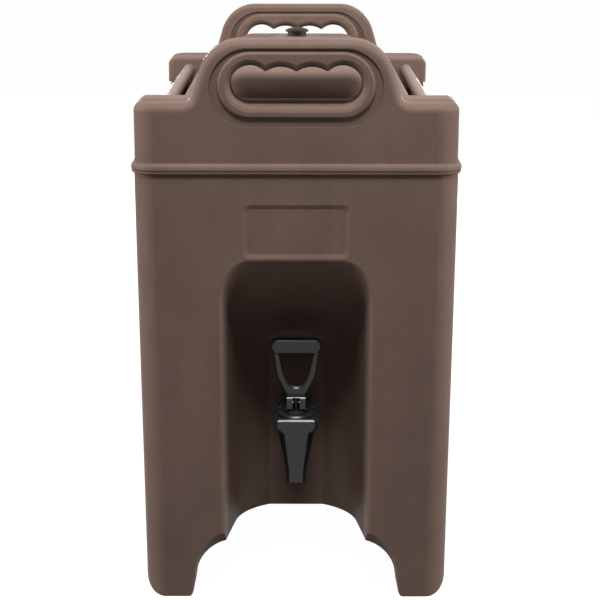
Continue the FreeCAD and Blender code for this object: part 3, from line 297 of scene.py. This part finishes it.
@dataclass(frozen=True)
class GlossPlastic:
    """Injection-moulded glossy plastic with faint swirls and handling marks."""

    name: str
    colour: Triple
    roughness: float
    gloss: float
    swirls_per_metre: float = 85.0
    swirl_layers: float = 3.0
    swirl_rough: float = 0.6
    swirl_blend: Pair = (0.35, 0.7)
    swirl_lightness: float = 1.25
    swirl_roughness: float = 0.12
    grain_per_metre: float = 1400.0
    grain_depth: float = 0.000008
    grain_show: float = 0.6
    grain_roughness: float = 0.05
    waves_per_metre: float = 120.0
    wave_depth: float = 0.00006
    wave_show: float = 0.5

    def material(self) -> bpy.types.Material:
        """Builds the plastic's material."""
        sheet = Sheet(self.name)
        swirl = sheet.noise(self.swirls_per_metre, self.swirl_layers, self.swirl_rough)
        grain = sheet.noise(self.grain_per_metre, 1.0)
        lighter = shaded(self.colour, self.swirl_lightness)
        uneven = (swirl - 0.5) * self.swirl_roughness + (grain - 0.5) * self.grain_roughness
        waves = sheet.bump(sheet.noise(self.waves_per_metre, 1.0), self.wave_depth, self.wave_show)
        return sheet.finish({
            "Base Color": sheet.mixed(swirl.eased(*self.swirl_blend), self.colour, lighter),
            "Roughness": self.roughness + uneven,
            "Normal": sheet.bump(grain, self.grain_depth, self.grain_show, waves),
            "Specular IOR Level": self.gloss,
        })


@dataclass(frozen=True)
class SoftRubber:
    """Matt rubber with a fine powdery grain."""

    name: str
    colour: Triple
    roughness: float = 0.7
    gloss: float = 0.4
    dust_per_metre: float = 260.0
    dust_layers: float = 4.0
    dust_rough: float = 0.7
    dust_blend: Pair = (0.45, 0.8)
    dust_share: float = 0.5
    dust_lightness: float = 1.8
    dust_grey: float = 0.01
    dust_roughness: float = 0.2
    grain_per_metre: float = 1800.0
    grain_depth: float = 0.00002
    grain_show: float = 0.7

    def material(self) -> bpy.types.Material:
        """Builds the rubber's material."""
        sheet = Sheet(self.name)
        dust = sheet.noise(self.dust_per_metre, self.dust_layers, self.dust_rough)
        pale = tuple(part + self.dust_grey for part in shaded(self.colour, self.dust_lightness))
        share = dust.eased(*self.dust_blend) * self.dust_share
        grain = sheet.noise(self.grain_per_metre)
        return sheet.finish({
            "Base Color": sheet.mixed(share, self.colour, pale),
            "Roughness": self.roughness + (dust - 0.5) * self.dust_roughness,
            "Normal": sheet.bump(grain, self.grain_depth, self.grain_show),
            "Specular IOR Level": self.gloss,
        })


@dataclass(frozen=True)
class RigidFoam:
    """Cut insulating foam with open cells, their middles darkened as painted shade in the pores."""

    name: str
    colour: Triple
    roughness: float = 0.85
    patches_per_metre: float = 90.0
    patch_roughness: float = 0.1
    cells_per_metre: float = 420.0
    cell_blend: Pair = (0.1, 0.6)
    cell_painted_shade: float = 0.6
    cell_depth: float = 0.0006
    cell_show: float = 0.8

    def material(self) -> bpy.types.Material:
        """Builds the foam's material."""
        sheet = Sheet(self.name)
        cells = sheet.cells(self.cells_per_metre)
        # The cells' middles get a darker copy of the colour: painted shade in the pores.
        painted_pore_shade = shaded(self.colour, self.cell_painted_shade)
        return sheet.finish({
            "Base Color": sheet.mixed(cells.eased(*self.cell_blend), painted_pore_shade, self.colour),
            "Roughness": self.roughness + sheet.noise(self.patches_per_metre) * self.patch_roughness,
            "Normal": sheet.bump(cells, self.cell_depth, self.cell_show),
        })


@dataclass(frozen=True)
class DrawnSteel:
    """Drawn stainless wire and rod with fine lines along its length."""

    name: str
    colour: Triple
    stretch: Triple = (1.0, 0.02, 1.0)
    roughness: float = 0.24
    lines_per_metre: float = 2600.0
    line_rough: float = 0.6
    line_blend: Pair = (0.3, 0.7)
    line_darkness: float = 0.75
    line_roughness: float = 0.16
    line_depth: float = 0.00001
    line_show: float = 0.6

    def material(self) -> bpy.types.Material:
        """Builds the steel's material."""
        sheet = Sheet(self.name)
        lines = sheet.noise(self.lines_per_metre, 2.0, self.line_rough, self.stretch)
        dark = shaded(self.colour, self.line_darkness)
        return sheet.finish({
            "Base Color": sheet.mixed(lines.eased(*self.line_blend), dark, self.colour),
            "Metallic": 1.0,
            "Roughness": self.roughness + lines * self.line_roughness,
            "Normal": sheet.bump(lines, self.line_depth, self.line_show),
        })


@dataclass
class Finishes:
    """Every finish on the dispenser, made once."""

    shell_brown: Triple = (0.13, 0.087, 0.07)
    latch_brown: Triple = (0.2, 0.137, 0.112)
    foam_yellow: Triple = (0.78, 0.64, 0.32)
    tap_black: Triple = (0.014, 0.014, 0.014)
    seal_black: Triple = (0.018, 0.018, 0.018)
    vent_brown: Triple = (0.016, 0.011, 0.007)
    steel_grey: Triple = (0.58, 0.57, 0.55)
    liner_darkness: float = 0.92
    # How much lighter the lid is painted than the shell, as painted light.
    lid_painted_lightness: float = 1.15
    made: dict[str, bpy.types.Material] = field(default_factory=dict)

    def build(self) -> "Finishes":
        """Makes all the materials.

        Returns:
            This object, with the materials by the record's slot names, and the lid's own.
        """
        liner = shaded(self.shell_brown, self.liner_darkness)
        # The lid's brown is the shell's brown made lighter: painted light standing in for the light
        # that falls on the lid.
        lid = shaded(self.shell_brown, self.lid_painted_lightness)
        finishes = {
            "shell_plastic": MouldedPlastic("shell_brown", self.shell_brown),
            "lid_plastic": MouldedPlastic("lid_painted_light_brown", lid),
            "liner_plastic": MouldedPlastic("liner_brown", liner, roughness=0.4),
            "latch_plastic": MouldedPlastic("latch_brown", self.latch_brown, roughness=0.4, gloss=0.15),
            "foam": RigidFoam("insulation", self.foam_yellow),
            "tap_plastic": GlossPlastic("tap_black", self.tap_black, roughness=0.3, gloss=0.34),
            "seal_rubber": SoftRubber("seal_black", self.seal_black),
            "vent_rubber": SoftRubber("vent_dark", self.vent_brown, roughness=0.6, gloss=0.2),
            "steel": DrawnSteel("rod_steel", self.steel_grey),
        }
        self.made = {slot: finish.material() for slot, finish in finishes.items()}
        return self

    def dress(self, thing: bpy.types.Object, slot: str) -> None:
        """Gives an object one finish on all its faces."""
        thing.data.materials.clear()
        thing.data.materials.append(self.made[slot])
        for face in thing.data.polygons:
            face.material_index = 0


@dataclass(frozen=True)
class SoftBox:
    """One soft box, with its place and its width and height in metres and its power in watts."""

    name: str
    place: Triple
    size: Pair
    power: float

    def hang(self, aim: Triple) -> None:
        """Hangs the box so that it faces a point."""
        data = bpy.data.lights.new(self.name, "AREA")
        data.shape = "RECTANGLE"
        data.size, data.size_y = self.size
        data.energy = self.power
        box = bpy.data.objects.new(self.name, data)
        box.location = self.place
        box.rotation_euler = (Vector(aim) - Vector(self.place)).to_track_quat("-Z", "Y").to_euler()
        bpy.context.scene.collection.objects.link(box)


@dataclass
class Studio:
    """The camera, the white floor and the soft boxes, in metres and degrees."""

    camera_place: Triple = (0.0031, -1.4515, 0.577)
    camera_down: float = 14.36
    camera_roll: float = 0.1
    camera_reach: float = 60.0
    lens_mm: float = 95.8
    sensor_mm: float = 36.0
    floor_size: float = 40.0
    floor_paper: float = 0.12
    floor_glow: float = 0.975
    sky_level: float = 0.05
    aim: Triple = (0.0, 0.0, 0.28)
    boxes: tuple[SoftBox, ...] = (
        SoftBox("front_box", (0.0, -0.86, 1.8), (0.8, 0.4), 39.0),
        SoftBox("top_box", (0.0, -0.1, 2.0), (1.0, 0.6), 3.0),
        SoftBox("fill_box", (0.0, -1.7, 1.0), (0.9, 0.4), 1.8),
        SoftBox("left_box", (-1.9, -0.3, 0.9), (0.5, 1.2), 44.0),
        SoftBox("right_box", (1.9, -0.3, 0.9), (0.5, 1.2), 48.0),
        SoftBox("back_box", (0.0, 1.9, 0.21), (1.2, 0.36), 44.0),
    )

    def camera(self) -> None:
        """Sets the camera where the photograph was taken from."""
        data = bpy.data.cameras.new("camera")
        data.lens = self.lens_mm
        data.sensor_width = self.sensor_mm
        data.clip_end = self.camera_reach
        eye = bpy.data.objects.new("camera", data)
        eye.location = self.camera_place
        tilt = Matrix.Rotation(math.radians(90.0 - self.camera_down), 3, "X")
        roll = Matrix.Rotation(math.radians(self.camera_roll), 3, "Z")
        eye.rotation_euler = (tilt @ roll).to_euler()
        bpy.context.scene.collection.objects.link(eye)
        bpy.context.scene.camera = eye

    @staticmethod
    def seen_white(sheet: Sheet) -> Signal:
        """Gives 1 for the rays that show the surroundings and 0 for those that light the object."""
        camera, mirror, through = (
            sheet.add("ShaderNodeLightPath", {}, {}, ray)
            for ray in ("Is Camera Ray", "Is Glossy Ray", "Is Transmission Ray")
        )
        return camera.at_least(mirror).at_least(through)

    def floor(self) -> None:
        """Lays a white floor that shows as white away from the object's shadow."""
        half = self.floor_size / 2
        mesh = bpy.data.meshes.new("studio_floor")
        corners = [(-half, -half, 0.0), (half, -half, 0.0), (half, half, 0.0), (-half, half, 0.0)]
        mesh.from_pydata(corners, [], [(0, 1, 2, 3)])
        ground = bpy.data.objects.new("studio_floor", mesh)
        bpy.context.scene.collection.objects.link(ground)
        sheet = Sheet("studio_white")
        grey = (self.floor_paper, self.floor_paper, self.floor_paper, 1.0)
        paper = sheet.add("ShaderNodeBsdfDiffuse", {}, {"Color": grey})
        dark = sheet.add("ShaderNodeEmission", {}, {"Strength": 0.0})
        glow = sheet.add("ShaderNodeEmission", {}, {"Color": WHITE, "Strength": self.floor_glow})
        shown = sheet.add("ShaderNodeMixShader", {}, {0: self.seen_white(sheet), 1: dark, 2: glow})
        both = sheet.add("ShaderNodeAddShader", {}, {0: paper, 1: shown})
        sheet.add("ShaderNodeOutputMaterial", {}, {"Surface": both})
        mesh.materials.append(sheet.owner)

    def sky(self) -> None:
        """Surrounds the scene with white that lights softly and shows as white."""
        world = bpy.data.worlds.new("studio_sky")
        bpy.context.scene.world = world
        sheet = Sheet(world)
        soft = sheet.add("ShaderNodeBackground", {}, {"Color": WHITE, "Strength": self.sky_level})
        white = sheet.add("ShaderNodeBackground", {}, {"Color": WHITE, "Strength": 1.0})
        shown = sheet.add("ShaderNodeMixShader", {}, {0: self.seen_white(sheet), 1: soft, 2: white})
        sheet.add("ShaderNodeOutputWorld", {}, {"Surface": shown})

    def build(self) -> None:
        """Sets up the whole studio."""
        bpy.context.scene.view_settings.view_transform = "Standard"
        self.camera()
        self.floor()
        self.sky()
        for box in self.boxes:
            box.hang(self.aim)
            log.info("hung %s", box.name)


@dataclass(frozen=True)
class SubAssembly:
    """Some of the dispenser's CAD nodes, dressed together.

    Each node has the finish of its record slot, apart from those that own_finish names.
    """

    nodes: tuple[str, ...] = ()
    own_finish: dict[str, str] = field(default_factory=dict)

    def dress(self, frame: dict[str, Any], finishes: Finishes) -> None:
        """Dresses every node of the group.

        Args:
            frame: The loaded frame, with its nodes and record.
            finishes: The materials.
        """
        slots = {row["node"]: row["material_slot"] for row in frame["record"]["subparts"]}
        for name in self.nodes:
            slot = self.own_finish.get(name, slots[name])
            finishes.dress(frame["nodes"][name], slot)
            log.info("dressed %s in %s", name, slot)


@dataclass(frozen=True)
class Container(SubAssembly):
    """The insulated container: outer skin, foam and tank."""

    nodes: tuple[str, ...] = ("outer_shell", "foam_core", "tank_liner")


@dataclass(frozen=True)
class Tap(SubAssembly):
    """The tap with its valve, its lever and the seals and nut that hold it in the wall."""

    nodes: tuple[str, ...] = (
        "tap_body", "tap_washer", "tank_gasket", "shank_nut", "tap_bonnet", "bonnet_oring",
        "tap_stem", "seat_cup", "stem_spring", "tap_lever", "lever_pin",
    )


@dataclass(frozen=True)
class Lid(SubAssembly):
    """The lid with its side latches. Its skin is painted a shade lighter than the container's, as
    painted light.
    """

    nodes: tuple[str, ...] = (
        "lid_shell", "lid_foam", "lid_plug", "lid_gasket",
        "latch_rod_left", "latch_rod_right", "latch_left", "latch_right",
    )
    own_finish: dict[str, str] = field(default_factory=lambda: {"lid_shell": "lid_plastic"})


@dataclass(frozen=True)
class Vent(SubAssembly):
    """The vent in the lid's boss: cap, stem and seal ring."""

    nodes: tuple[str, ...] = ("vent_cap", "vent_stem", "vent_seal")


def main() -> None:
    """Builds the studio and the dispenser, piece by piece."""
    logging.basicConfig(level=logging.INFO, format="%(message)s")
    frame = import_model()
    Studio().build()
    finishes = Finishes().build()
    for part in (Container(), Tap(), Lid(), Vent()):
        part.dress(frame, finishes)


if __name__ == "__main__":
    main()
